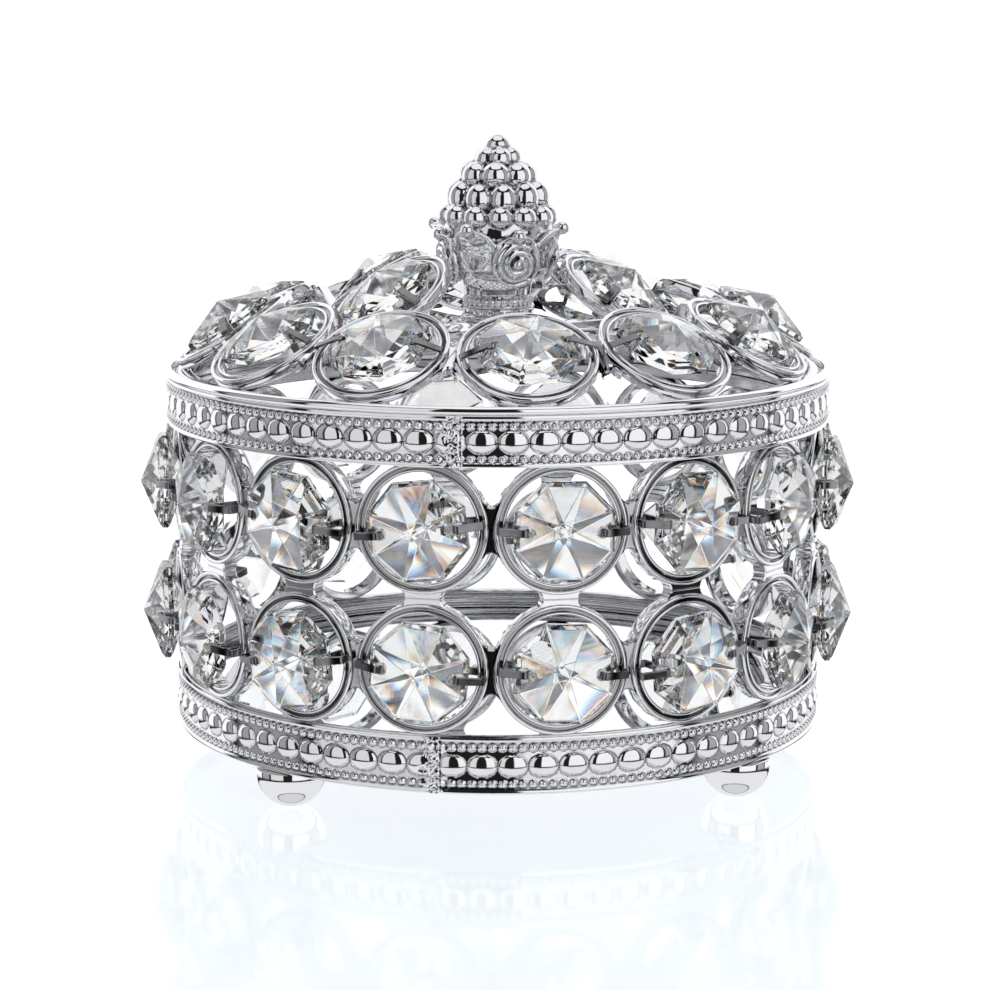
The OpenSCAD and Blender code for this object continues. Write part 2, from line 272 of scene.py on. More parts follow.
def embossed_band(radius, bottom, top, small_rows, oval_row, seam_turn):
    """The pressed strip as a closed shell. The ovals reach the radius, and small_rows and oval_row
    are the heights of the bead rows. The soldered seam is at seam_turn."""
    turn = np.linspace(0, 360, OVALS * COLUMNS_PER_OVAL, endpoint=False)
    height = np.linspace(bottom, top, ROWS)
    t, z = np.meshgrid(turn, height, indexing="ij")
    pitch = 2 * math.pi * radius / OVALS
    along = ((t / 360 * OVALS) % 1 - 0.5) * pitch
    spread = (2 * along / OVAL_SIZE[0]) ** 2 + (2 * (z - oval_row) / OVAL_SIZE[1]) ** 2
    rise = OVAL_RISE * np.sqrt(np.clip(1 - spread, 0, 1))
    along = ((t / 360 * OVALS * SMALL_PER_OVAL) % 1 - 0.5) * pitch / SMALL_PER_OVAL
    for row in small_rows:
        spread = (along ** 2 + (z - row) ** 2) / SMALL_R ** 2
        rise = np.maximum(rise, SMALL_RISE * np.sqrt(np.clip(1 - spread, 0, 1)))
    edge = np.minimum(z - bottom, top - z)
    lip = np.sqrt(np.clip(1 - (edge / 0.45 - 0.55) ** 2, 0, 1)) * (edge < 0.7)
    rise = np.maximum(rise, EDGE_LIP * lip)
    from_seam = (t - seam_turn + 180) % 360 - 180
    soldered = np.exp(-((from_seam + 2.2 * lumps(z, z * 0, 9) - 1) / 1.3) ** 4)
    solder = 0.5 * lumps(from_seam * 3.1, z * 2.7, 5) * lumps(from_seam * 7.3, z * 6.4, 6) + 0.12
    rise = rise * (1 - 0.75 * soldered) + solder * soldered
    split = np.exp(-((from_seam - 1.1) / 0.09) ** 2)
    r = radius - OVAL_RISE + rise - 0.3 * split
    inside = np.full((len(turn), 2), radius - BAND_THICK)
    r = np.hstack([r, inside])
    z = np.hstack([z, np.full((len(turn), 1), top), np.full((len(turn), 1), bottom)])
    angle = np.radians(turn)[:, None]
    points = np.stack([np.sin(angle) * r, -np.cos(angle) * r, z], -1).reshape(-1, 3)
    rows = ROWS + 2
    faces = []
    for column in range(len(turn)):
        here, there = column * rows, (column + 1) % len(turn) * rows
        for i in range(rows):
            j = (i + 1) % rows
            faces.append((here + i, there + i, there + j, here + j))
    return points, faces


base_low, base_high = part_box("base_trim_band")
base_r = base_high.x / MM
band_low, band_high = base_low.z / MM, base_high.z / MM
base_band = make_piece(
    "base_band_embossed",
    [embossed_band(base_r, band_low, band_high, (band_low + BASE_SMALL_IN, band_high - BASE_SMALL_IN),
                   (band_low + band_high) / 2, BASE_SEAM_TURN)],
    band_chrome, 50)
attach(base_band, "box")
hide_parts("base_trim_band")


# ---- Mirror and its pad ----------------------------------------------------------------------
# A round of silvered float glass with a ground edge makes the bright floor of the box. It is
# stuck to the tray by a round of grey foam.

mirror_low, mirror_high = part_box("floor_mirror")
mirror_r = mirror_high.x / MM
mirror_z = (mirror_low.z / MM, mirror_high.z / MM)
silvered_glass = metal("silvered_glass", (0.9, 0.92, 0.93), (0.86, 0.89, 0.9), 0.02, 60.0, 0.0, 0.00001)
silvered_glass.node_tree.nodes["Principled BSDF"].inputs["Coat Weight"].default_value = 1.0
BEVEL_WIDE = 1.6
BEVEL_DEEP = 0.9
bevelled_disc = [(0, mirror_z[0]), (mirror_r, mirror_z[0]), (mirror_r, mirror_z[1] - BEVEL_DEEP),
                 (mirror_r - BEVEL_WIDE, mirror_z[1]), (0, mirror_z[1])]
mirror = make_piece("floor_mirror_bevelled", [turned(bevelled_disc, closed=False)], silvered_glass, 8)
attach(mirror, "box")
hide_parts("floor_mirror")

foam = bpy.data.materials.new("foam")
foam.use_nodes = True
foam_tree = foam.node_tree
foam_shader = foam_tree.nodes["Principled BSDF"]
foam_shader.inputs["Roughness"].default_value = 0.95
foam_cells = foam_tree.nodes.new("ShaderNodeTexVoronoi")
foam_cells.inputs["Scale"].default_value = 1600.0
foam_place = foam_tree.nodes.new("ShaderNodeTexCoord")
foam_tree.links.new(foam_place.outputs["Object"], foam_cells.inputs["Vector"])
foam_tone = foam_tree.nodes.new("ShaderNodeMix")
foam_tone.data_type = "RGBA"
foam_tone.inputs["A"].default_value = (0.05, 0.05, 0.055, 1)
foam_tone.inputs["B"].default_value = (0.16, 0.16, 0.17, 1)
foam_tree.links.new(foam_cells.outputs["Distance"], foam_tone.inputs["Factor"])
foam_tree.links.new(foam_tone.outputs["Result"], foam_shader.inputs["Base Color"])
foam_bump = foam_tree.nodes.new("ShaderNodeBump")
foam_bump.inputs["Distance"].default_value = 0.0002
foam_tree.links.new(foam_cells.outputs["Distance"], foam_bump.inputs["Height"])
foam_tree.links.new(foam_bump.outputs["Normal"], foam_shader.inputs["Normal"])
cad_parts["mirror_pad"].data.materials.clear()
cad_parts["mirror_pad"].data.materials.append(foam)


# ---- Ball feet and their screws --------------------------------------------------------------
# Four solid balls, turned and chromed, each with a short neck under the tray. A steel screw
# comes down through the tray into each.

ball_chrome = metal("ball_chrome", (0.95, 0.95, 0.96), (0.88, 0.88, 0.9), 0.03, 120.0, 0.15, 0.00001)
screw_steel = metal("screw_steel", (0.75, 0.75, 0.76), (0.5, 0.5, 0.52), 0.5, 400.0, 1.0, 0.00003)

FOOT_R = 5.0
FOOT_NECK_R = 3.0
foot_mid = FOOT_R - 0.1
foot_top = band_low - 0.1
for i in range(4):
    low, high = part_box(f"foot_{i + 1}")
    centre = (low + high) / 2 / MM
    start = math.asin((foot_mid - low.z / MM) / FOOT_R)
    end = math.asin((foot_top - foot_mid) / FOOT_R)
    curve = [(FOOT_R * math.cos(a), foot_mid + FOOT_R * math.sin(a))
             for a in np.linspace(-start, end, 40)]
    outline = [(0, low.z / MM), *curve, (FOOT_NECK_R + 0.3, foot_top + 0.05),
               (FOOT_NECK_R, foot_top + 0.3), (FOOT_NECK_R, tray_bottom), (0, tray_bottom)]
    points, faces = turned(outline, 96, closed=False)
    foot = make_piece(f"ball_foot_{i + 1}", [(points + [centre.x, centre.y, 0], faces)], ball_chrome)
    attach(foot, "box")
    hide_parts(f"foot_{i + 1}")
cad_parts["foot_screws"].data.materials.clear()
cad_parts["foot_screws"].data.materials.append(screw_steel)


# ---- Wall rings ------------------------------------------------------------------------------
# Two rows of sixteen rings, cast in zinc with two ridges round the front face and joined by flat
# webs, bent round into a wall, soldered to the tray and chromed.

WALL_RINGS = 16
RING_TURN = 10.25
WALL_R = 48.0
LOWER_Z = 23.3
UPPER_Z = 43.3
RING_R = 9.35
RING_BORE = 7.85
RING_HALF = 1.5
RING_TURNS = 96
WEB_HALF = 1.1
WALL_TURNS = [RING_TURN + k * 360 / WALL_RINGS for k in range(WALL_RINGS)]

# Its last tone is the painted shade that darkens the hollows of the rings.
cast_chrome = metal("cast_chrome", (0.94, 0.94, 0.955), (0.8, 0.8, 0.83), 0.05, 220.0, 0.35, 0.00002,
                    crevice_shade_tone=0.35)


def moved(shell, matrix):
    """The shell with that matrix applied to it."""
    points, faces = shell
    a = np.array(matrix)
    return points @ a[:3, :3].T + a[:3, 3], faces


def placing(turn, radius, height, slope=90.0, roll=0.0, stand=0.0):
    """Puts a shape at that turn from the front, its own +Z facing out and leaning back by the slope."""
    return (Matrix.Rotation(math.radians(turn), 4, "Z") @ Matrix.Translation((0, -radius, height))
            @ Matrix.Rotation(math.radians(slope), 4, "X") @ Matrix.Rotation(math.radians(roll), 4, "Z")
            @ Matrix.Translation((0, 0, stand)))


def ridge(middle, radius, base):
    """Half a round ridge on a ring's face, from its outer side to its inner side."""
    return [(middle + radius * math.cos(a), base + radius * math.sin(a))
            for a in np.linspace(0, math.pi, 9)]


def ring_shell(outer, bore, half):
    """One cast ring round the Z axis."""
    outer_ridge, inner_ridge = 0.3, 0.2
    face = half - outer_ridge
    back = rounded([(bore, -half), (outer - 0.3, -half), (outer, 0.6 - half)], 0.25, closed=False)
    profile = [*back, *ridge(outer - outer_ridge, outer_ridge, face),
               (outer - 2 * outer_ridge - 0.08, face - 0.22),
               (bore + 2 * inner_ridge + 0.12, face - 0.22),
               *ridge(bore + inner_ridge + 0.02, inner_ridge, face + 0.05), (bore, face - 0.3)]
    return turned(profile, RING_TURNS)


def plate(outline, half, edge):
    """A flat plate of that outline, its front and back edges eased by a small bevel."""
    outline = np.array(outline, float)
    ahead = np.roll(outline, -1, 0) - outline
    ahead /= np.linalg.norm(ahead, axis=1)[:, None]
    along = ahead + np.roll(ahead, 1, 0)
    along /= np.linalg.norm(along, axis=1)[:, None]
    area = np.sum(outline[:, 0] * np.roll(outline[:, 1], -1) - outline[:, 1] * np.roll(outline[:, 0], -1))
    inward = np.stack([-along[:, 1], along[:, 0]], 1) * np.sign(area)
    layers = [(-half, edge), (-half + edge, 0), (half - edge, 0), (half, edge)]
    points = np.vstack([np.column_stack([outline + inward * inset, np.full(len(outline), z)])
                        for z, inset in layers])
    count = len(outline)
    faces = [tuple(range(count))[::-1], tuple(3 * count + i for i in range(count))]
    for layer in range(3):
        for i in range(count):
            j = (i + 1) % count
            faces.append((layer * count + i, layer * count + j, (layer + 1) * count + j,
                          (layer + 1) * count + i))
    return points, faces


def web_outline(centre, radius, reach, dip, halved=False):
    """The web between two rings whose middles are at x = -centre and centre, with hollow ends."""
    sides = np.linspace(-reach, reach, 15)
    right = [(centre - math.sqrt((radius - 0.2) ** 2 - y * y), y) for y in sides]
    end_x = right[-1][0]
    stop = 0 if halved else -end_x
    top = [(x, reach - dip * (1 - (x / end_x) ** 2)) for x in np.linspace(end_x, stop, 9)][1:]
    if halved:
        return right + top + [(x, -y) for x, y in top[::-1]]
    return right + top[:-1] + [(-x, -y) for x, y in right] + [(-x, -y) for x, y in top[:-1]]


def wall_row(height, towards):
    """One row of the wall; its upright half webs point up or down, towards the other row."""
    shells = []
    beside = web_outline(WALL_R * math.tan(math.pi / WALL_RINGS), RING_R, reach=4.1, dip=0.9)
    between = web_outline((UPPER_Z - LOWER_Z) / 2, RING_R, reach=3.5, dip=0.9, halved=True)
    quarter = Matrix.Rotation(math.radians(-90 if towards < 0 else 90), 4, "Z")
    for turn in WALL_TURNS:
        shells.append(moved(ring_shell(RING_R, RING_BORE, RING_HALF), placing(turn, WALL_R, height)))
        corner = placing(turn + 180 / WALL_RINGS, WALL_R / math.cos(math.pi / WALL_RINGS) - 0.1, height)
        shells.append(moved(plate(beside, WEB_HALF, 0.2), corner))
        shells.append(moved(plate(between, WEB_HALF, 0.2),
                            placing(turn, WALL_R, (LOWER_Z + UPPER_Z) / 2) @ quarter.inverted()))
    return shells


for name, height, towards in (("lower", LOWER_Z, 1), ("upper", UPPER_Z, -1)):
    row = make_piece(f"wall_row_{name}", wall_row(height, towards), cast_chrome)
    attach(row, "box")
    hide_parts(f"wall_rings_{name}")


# ---- Rail on top of the wall -----------------------------------------------------------------
# A flat ring of chromed sheet soldered to the tops of the upper rings. The lid sits on it.

RAIL_IN_R = 46.4
rail_low, rail_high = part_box("wall_top_rim")
rail_out = rail_high.x / MM
rail_profile = rounded([(RAIL_IN_R, rail_low.z / MM), (rail_out, rail_low.z / MM),
                        (rail_out, rail_high.z / MM), (RAIL_IN_R, rail_high.z / MM)], 0.4)
rail = make_piece("wall_top_rail", [turned(rail_profile)], rolled_chrome)
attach(rail, "box")
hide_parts("wall_top_rim")


# ---- Beads -----------------------------------------------------------------------------------
# Clear octagon beads of pressed and polished lead glass, a point before and behind, with a
# thin plain edge and two drilled holes. The drill leaves the holes frosted and chipped.

BEAD_FLATS = 14.0
BEAD_POINT = 3.5
BEAD_EDGE = 0.4
BEAD_STAND = 3.45
HOLE_X = 5.2
HOLE_R = 0.75
HOLE_CHIP = 0.25
CRYSTAL_BEND = 1.54
CRYSTAL_FIRE = 0.012


def glass(name, bend, fire, haze):
    """Glass whose red, green and blue bend by slightly different amounts, which gives it fire.
    The bend is the middle one, the fire the step between them, and the haze the frosting."""
    material = bpy.data.materials.new(name)
    material.use_nodes = True
    tree = material.node_tree
    tree.nodes.remove(tree.nodes["Principled BSDF"])
    output = tree.nodes["Material Output"]
    wear_and_shade_node = tree.nodes.new("ShaderNodeGroup")
    wear_and_shade_node.node_tree = wear_and_shade
    wear_and_shade_node.inputs["Haze"].default_value = haze
    wear_and_shade_node.inputs["Patch Scale"].default_value = 400.0
    total = None
    for i, tint in enumerate(((0.5, 0.3, 0.2), (0.3, 0.4, 0.3), (0.2, 0.3, 0.5))):
        part = tree.nodes.new("ShaderNodeBsdfGlass")
        part.inputs["IOR"].default_value = bend + fire * (i - 1)
        cast = tree.nodes.new("ShaderNodeMix")
        cast.data_type = "RGBA"
        cast.inputs["A"].default_value = (*[0.97 * t for t in tint], 1)
        cast.inputs["B"].default_value = (*tint, 1)
        tree.links.new(wear_and_shade_node.outputs["Patches"], cast.inputs["Factor"])
        tree.links.new(cast.outputs["Result"], part.inputs["Color"])
        if haze:
            tree.links.new(wear_and_shade_node.outputs["Roughness"], part.inputs["Roughness"])
        else:
            part.inputs["Roughness"].default_value = 0.0
        if total is None:
            total = part.outputs[0]
        else:
            both = tree.nodes.new("ShaderNodeAddShader")
            tree.links.new(total, both.inputs[0])
            tree.links.new(part.outputs[0], both.inputs[1])
            total = both.outputs[0]
    tree.links.new(total, output.inputs["Surface"])
    return material


crystal = glass("crystal", CRYSTAL_BEND, CRYSTAL_FIRE, 0.0)
drilled = glass("drilled_crystal", CRYSTAL_BEND, CRYSTAL_FIRE, 0.3)


def bead_mesh():
    """The mesh that all beads share, its holes along its own Z."""
    body = bmesh.new()
    corner = BEAD_FLATS / 2 / math.cos(math.radians(22.5))
    for side in (1, -1):
        for r, z in ((corner, BEAD_EDGE), (corner - 0.75, BEAD_EDGE + 0.5)):
            for i in range(8):
                a = math.radians(22.5 + 45 * i)
                body.verts.new((r * math.cos(a) * MM, r * math.sin(a) * MM, side * z * MM))
        body.verts.new((0, 0, side * BEAD_POINT * MM))
    bmesh.ops.convex_hull(body, input=body.verts[:])
    bmesh.ops.dissolve_limit(body, angle_limit=math.radians(0.5), verts=body.verts[:],
                             edges=body.edges[:])
    bmesh.ops.bevel(body, geom=body.edges[:], offset=0.05 * MM, segments=1, affect="EDGES")
    mesh = bpy.data.meshes.new("bead")
    body.to_mesh(mesh)
    body.free()
    mesh.materials.append(crystal)
    mesh.materials.append(drilled)
    solid = bpy.data.objects.new("bead", mesh)
    bpy.context.scene.collection.objects.link(solid)
    drills = []
    for side in (1, -1):
        points, faces = turned([(0, -6), (HOLE_R + HOLE_CHIP, -6), (HOLE_R + HOLE_CHIP, -1.75),
                                (HOLE_R, -1.45), (HOLE_R, 1.45), (HOLE_R + HOLE_CHIP, 1.75),
                                (HOLE_R + HOLE_CHIP, 6), (0, 6)], 14, closed=False)
        drill = make_piece(f"drill_{side}", [(points + [side * HOLE_X, 0, 0], faces)], drilled)
        cut = solid.modifiers.new("hole", "BOOLEAN")
        cut.operation = "DIFFERENCE"
        cut.solver = "EXACT"
        cut.material_mode = "TRANSFER"
        cut.object = drill
        drills.append(drill)
    bored = bpy.data.meshes.new_from_object(solid.evaluated_get(bpy.context.evaluated_depsgraph_get()))
    for spare in (solid, *drills):
        bpy.data.objects.remove(spare)
    bored.name = "bored_bead"
    bored.shade_flat()
    return bored


shared_bead = bead_mesh()


def bead_roll(k):
    """The small turn that hand fitting leaves on each bead."""
    return 7 * math.sin(math.radians(137 * k + 20))


def bead_tilt(k):
    """The small lean that the clips leave on each bead."""
    lean = math.radians(2.4)
    return (Matrix.Rotation(lean * math.sin(2.1 * k + 0.4), 4, "X")
            @ Matrix.Rotation(lean * math.cos(3.7 * k + 1.1), 4, "Y"))


def add_bead(name, placed, k, body, node):
    """One bead in its place, standing for a CAD node, or for a share of one."""
    mesh = shared_bead.copy()
    mesh.transform(Matrix.Scale(MM, 4) @ placed @ bead_tilt(k) @ Matrix.Scale(1 / MM, 4))
    bead = bpy.data.objects.new(name, mesh)
    bpy.context.scene.collection.objects.link(bead)
    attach(bead, body)
    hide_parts(node)


for name, height in (("lower", LOWER_Z), ("upper", UPPER_Z)):
    for k, turn in enumerate(WALL_TURNS):
        placed = placing(turn, WALL_R, height, 90, bead_roll(k + height), BEAD_STAND)
        add_bead(f"{name}_glass_bead_{k + 1}", placed, k + height, "box", f"{name}_bead_{k + 1}")


# ---- Bead clips ------------------------------------------------------------------------------
# Each bead is held by two short flat strips of black-nickel wire. A strip goes through a hole,
# hooks behind the ring at one end, and lies over the ring's face at the other.

CLIP_WIDE = 1.1
CLIP_THICK = 0.4
clip_nickel = metal("clip_black_nickel", (0.36, 0.36, 0.37), (0.08, 0.08, 0.085), 0.1, 500.0, 0.4,
                    0.00002)


def strip_outline(path, thick):
    """The side outline of a strip of that thickness along a path."""
    path = np.array(path)
    ahead = np.gradient(path, axis=0)
    ahead /= np.linalg.norm(ahead, axis=1)[:, None]
    off = np.stack([-ahead[:, 1], ahead[:, 0]], 1) * thick / 2
    return np.vstack([path + off, (path - off)[::-1]])


def clip_shells(bore, half, stand, placed):
    """The two clips of one bead; placed is the bead's ring with the bead's roll."""
    path = rounded([(bore + 1.05, half + 0.3), (bore + 1.35, stand - 0.15), (HOLE_X + 0.5, stand + 1.45),
                    (HOLE_X, stand + 1.0), (HOLE_X, -half), (bore - 0.4, -half - 0.25),
                    (bore + 1.05, -half - 0.25)], 0.35, closed=False)
    strip = plate(strip_outline(path, CLIP_THICK), CLIP_WIDE / 2, 0.09)
    upright = Matrix.Rotation(math.pi / 2, 4, "X")
    return [moved(strip, placed @ Matrix.Rotation(math.radians(s), 4, "Z") @ upright) for s in (0, 180)]


for name, height in (("lower", LOWER_Z), ("upper", UPPER_Z)):
    shells = []
    for k, turn in enumerate(WALL_TURNS):
        ring_at = placing(turn, WALL_R, height, 90, bead_roll(k + height))
        shells += clip_shells(RING_BORE, RING_HALF, BEAD_STAND, ring_at)
    clips = make_piece(f"{name}_clips", shells, clip_nickel)
    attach(clips, "box")
    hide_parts(f"bead_clips_{name}")


# ---- Lid band, rim wire and seat -------------------------------------------------------------
# The lid hangs on the same pressed strip as the base. A round wire is soldered along its top
# edge, and a flat ring inside it rests on the rail of the wall.

LID_SMALL_LOW, LID_SMALL_HIGH = 1.1, 1.45
LID_OVAL_UP = 3.55
LID_SEAM_TURN = -7.0
lid_low, lid_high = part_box("lid_trim_band")
lid_r = lid_high.x / MM
lid_bottom, lid_top = lid_low.z / MM, lid_high.z / MM
lid_band = make_piece(
    "lid_band_embossed",
    [embossed_band(lid_r, lid_bottom, lid_top, (lid_bottom + LID_SMALL_LOW, lid_top - LID_SMALL_HIGH),
                   lid_bottom + LID_OVAL_UP, LID_SEAM_TURN)],
    band_chrome, 50)
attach(lid_band, "lid")
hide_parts("lid_trim_band")

wire_low, wire_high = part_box("lid_rim_wire")
wire_r = (wire_high.z - wire_low.z) / 2 / MM
wire_z = (wire_high.z + wire_low.z) / 2 / MM
wire_middle = wire_high.x / MM - wire_r
wire_section = [(wire_middle + wire_r * math.cos(a), wire_z + wire_r * math.sin(a))
                for a in np.linspace(0, 2 * math.pi, 24, endpoint=False)]
rim_wire = make_piece("lid_wire_round", [turned(wire_section, 360)], ball_chrome)
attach(rim_wire, "lid")
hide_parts("lid_rim_wire")

SEAT_IN_R = 46.6
seat_low, seat_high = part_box("lid_seat_ring")
seat_out = seat_high.x / MM
seat_profile = rounded([(SEAT_IN_R, seat_low.z / MM), (seat_out, seat_low.z / MM),
                        (seat_out, seat_high.z / MM), (SEAT_IN_R, seat_high.z / MM)], 0.3)
seat = make_piece("lid_seat_flat", [turned(seat_profile)], rolled_chrome)
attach(seat, "lid")
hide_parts("lid_seat_ring")


# ---- Lid rings -------------------------------------------------------------------------------
# Twelve cast rings slope up from the rim, and five more form a crown round the handle's dish,
# with one place open. Star-shaped webs, arms and struts join them. All is chromed zinc.

LID_TURN = 6.0
LID_HALF = 1.0
OUTER_RINGS = 12
OUTER_R, OUTER_Z, OUTER_TILT = 40.0, 65.5, 30.5
OUTER_RING, OUTER_BORE = 10.0, 8.4
CROWN_TURNS = [LID_TURN + 60 * k for k in range(1, 6)]
INNER_R, INNER_Z, INNER_TILT = 19.5, 70.9, 35.0
INNER_RING, INNER_BORE = 9.7, 8.1
DISH_R = 8.4
DISH_LOW, DISH_HIGH = 62.4, 66.7
LID_RAIL_IN_R = 46.8
STAR_HALF, STAR_OUT = 0.8, 1.2
ARM_HALF = 0.6
STRUT_HALF = 1.4

rail_top = wire_z
shells = []
star = web_outline(OUTER_R * math.sin(math.pi / OUTER_RINGS), OUTER_RING, reach=3.9, dip=1.5)
for k in range(OUTER_RINGS):
    turn = LID_TURN + k * 360 / OUTER_RINGS
    shells.append(moved(ring_shell(OUTER_RING, OUTER_BORE, LID_HALF),
                        placing(turn, OUTER_R, OUTER_Z, OUTER_TILT)))
    shells.append(moved(plate(star, STAR_HALF, 0.25),
                        placing(turn + 180 / OUTER_RINGS, OUTER_R + STAR_OUT, OUTER_Z, OUTER_TILT)))
rail_section = rounded([(LID_RAIL_IN_R, rail_top - 1.9), (seat_out, rail_top - 1.9),
                        (seat_out, rail_top - 0.75), (seat_out - 0.9, rail_top - 0.75),
                        (seat_out - 1.3, rail_top), (LID_RAIL_IN_R, rail_top)], 0.35)
shells.append(turned(rail_section))
outer_rings = make_piece("lid_ring_row", shells, cast_chrome)
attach(outer_rings, "lid")
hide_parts("lid_rings_outer")

shells = []
arm_end = INNER_R + INNER_RING * math.cos(math.radians(INNER_TILT)) + 0.4
arm_z = INNER_Z - INNER_RING * math.sin(math.radians(INNER_TILT)) - 0.4
arm = rounded([(-1.5, DISH_R - 1), (1.5, DISH_R - 1), (1.1, DISH_R + 3), (1.1, arm_end - 2),
               (1.5, arm_end), (-1.5, arm_end), (-1.1, arm_end - 2), (-1.1, DISH_R + 3)], 0.6)
strut = rounded([(27.1, 65.2), (28.6, 65.4), (31.9, 69.0), (32.0, 70.7), (30.4, 70.8), (27.0, 66.4)], 0.4)
edgewise = Matrix.Rotation(-math.pi / 2, 4, "Z") @ Matrix.Rotation(math.pi / 2, 4, "X")
for turn in CROWN_TURNS:
    about = Matrix.Rotation(math.radians(turn), 4, "Z")
    shells.append(moved(ring_shell(INNER_RING, INNER_BORE, LID_HALF),
                        placing(turn, INNER_R, INNER_Z, INNER_TILT)))
    shells.append(moved(plate(arm, ARM_HALF, 0.2), about @ Matrix.Translation((0, 0, arm_z))
                        @ Matrix.Rotation(math.pi, 4, "Z")))
    shells.append(moved(plate(strut, STRUT_HALF, 0.2), about @ edgewise))
dish = rounded([(0, DISH_LOW), (6.5, DISH_LOW), (8, DISH_LOW + 0.8), (DISH_R, DISH_LOW + 1.8),
                (DISH_R, DISH_LOW + 2.8), (7.6, DISH_HIGH - 0.6), (6.2, DISH_HIGH), (0, DISH_HIGH)],
               0.6, closed=False)
shells.append(turned(dish, 120, closed=False))
inner_rings = make_piece("lid_crown", shells, cast_chrome)
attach(inner_rings, "lid")
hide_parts("lid_rings_inner")


# ---- Lid beads and clips ---------------------------------------------------------------------
# Every ring of the sloping row and of the crown holds a bead, nearer to its ring than in the
# wall, and the beads have the same two wire clips.

LID_STAND = 1.8
# Each row: name, turns, radius, height, tilt, bore, first number for the rolls, ending of its nodes
rows = (("lid", [LID_TURN + 360 * k / OUTER_RINGS for k in range(OUTER_RINGS)], OUTER_R, OUTER_Z,
         OUTER_TILT, OUTER_BORE, 40, "outer"),
        ("crown", CROWN_TURNS, INNER_R, INNER_Z, INNER_TILT, INNER_BORE, 61, "inner"))
for name, turns, away, height, tilt, bore, first, node in rows:
    shells = []
    for k, turn in enumerate(turns):
        ring_at = placing(turn, away, height, tilt, bead_roll(k + first))
        add_bead(f"{name}_glass_bead_{k + 1}", ring_at @ Matrix.Translation((0, 0, LID_STAND)),
                 k + first, "lid", f"lid_beads_{node}")
        shells += clip_shells(bore, LID_HALF, LID_STAND, ring_at)
    clips = make_piece(f"{name}_clips", shells, clip_nickel)
    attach(clips, "lid")
    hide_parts(f"lid_clips_{node}")


# ---- Finial ----------------------------------------------------------------------------------
# The handle is one zinc casting: a cluster of round fruit in tiers, a crown of four long and four
# short leaves, a cup with four scrolls on a pebbled ground, and a neck with a beaded foot.

COLLAR_TOP = 68.7
LEAF_TURN = -25.0
LEAF_R, LEAF_Z = 7.2, 74.6
LEAF_SPREAD, LEAF_DROOP = 1.6, 0.9
HORN_R = 7.4
HORN_BALL_R = 1.05
SCROLL_TURN = 20.0
SCROLL_R, SCROLL_Z, SCROLL_SLOPE = 8.0, 76.0, 104
SCROLL_RIM_R, SCROLL_RIM_THICK = 3.55, 0.33
TIP_BALL_R = 2.05
NECK_BEADS = 34
NECK_BEAD_R, NECK_BEAD_Z = 5.1, 69.75
PEBBLES = 200
PEBBLE_R = 0.42
PEBBLE_TURN = 137.5
PEBBLE_LOW, PEBBLE_SPAN = 74.3, 5.0
MELT_GRAIN = 0.19
# Each tier of fruit: height, distance of its middles from the axis, half width, half height,
# count, turn of the first fruit
TIERS = ((91.3, 2.0, 1.8, 1.75, 6, 10), (88.7, 3.95, 2.2, 2.2, 7, -4),
         (85.4, 5.95, 2.1, 2.5, 10, 8), (82.6, 7.25, 1.95, 1.9, 12, 3))


def ball(at, wide, tall, turns=20):
    """A fruit: an upright oval ball."""
    profile = [(wide * math.sin(a), at[2] - tall * math.cos(a)) for a in np.linspace(0, math.pi, 13)]
    points, faces = turned(profile, turns, closed=False)
    return points + [at[0], at[1], 0], faces


def round_axis(turn, r, z):
    """A point by its turn from the front, distance from the axis and height."""
    a = math.radians(turn)
    return np.array([r * math.sin(a), -r * math.cos(a), z])


def tube(path, radii, sides=10):
    """A closed tube along a path, with a radius at each point."""
    path = np.array(path, float)
    ahead = np.gradient(path, axis=0)
    ahead /= np.linalg.norm(ahead, axis=1)[:, None]
    across = np.cross(ahead, [0, 0, 1.0])
    across[np.linalg.norm(across, axis=1) < 1e-6] = [1, 0, 0]
    across /= np.linalg.norm(across, axis=1)[:, None]
    up = np.cross(across, ahead)
    angle = np.linspace(0, 2 * math.pi, sides, endpoint=False)
    rings = [p + r * (np.outer(np.cos(angle), a) + np.outer(np.sin(angle), u))
             for p, r, a, u in zip(path, radii, across, up)]
    faces = [tuple(range(sides))[::-1], tuple((len(path) - 1) * sides + i for i in range(sides))]
    for row in range(len(path) - 1):
        for i in range(sides):
            j = (i + 1) % sides
            faces.append((row * sides + i, row * sides + j, (row + 1) * sides + j, (row + 1) * sides + i))
    return np.vstack(rings), faces


def scroll(turn):
    """A flat spiral with a button in its eye, on the side of the cup."""
    t = np.linspace(0, 1, 60)
    r = 3.05 - 2.1 * t
    angle = 4.2 * math.pi * t + 0.8
    path = np.stack([r * np.cos(angle), r * np.sin(angle), 0.35 + 0.5 * t], 1)
    shells = [tube(path, 0.42 + 0.12 * np.sin(math.pi * t)), ball((0, 0, 0.7), 0.75, 0.75)]
    rim = [(SCROLL_RIM_R + SCROLL_RIM_THICK * math.cos(a), 0.1 + SCROLL_RIM_THICK * math.sin(a))
           for a in np.linspace(0, 2 * math.pi, 10, endpoint=False)]
    shells.append(turned(rim, 48))
    shells.append(turned([(0, -1.2), (3.6, -1.2), (3.5, 0.15), (0, 0.3)], 40, closed=False))
    placed = placing(turn, SCROLL_R, SCROLL_Z, SCROLL_SLOPE)
    return [moved(shell, placed) for shell in shells]


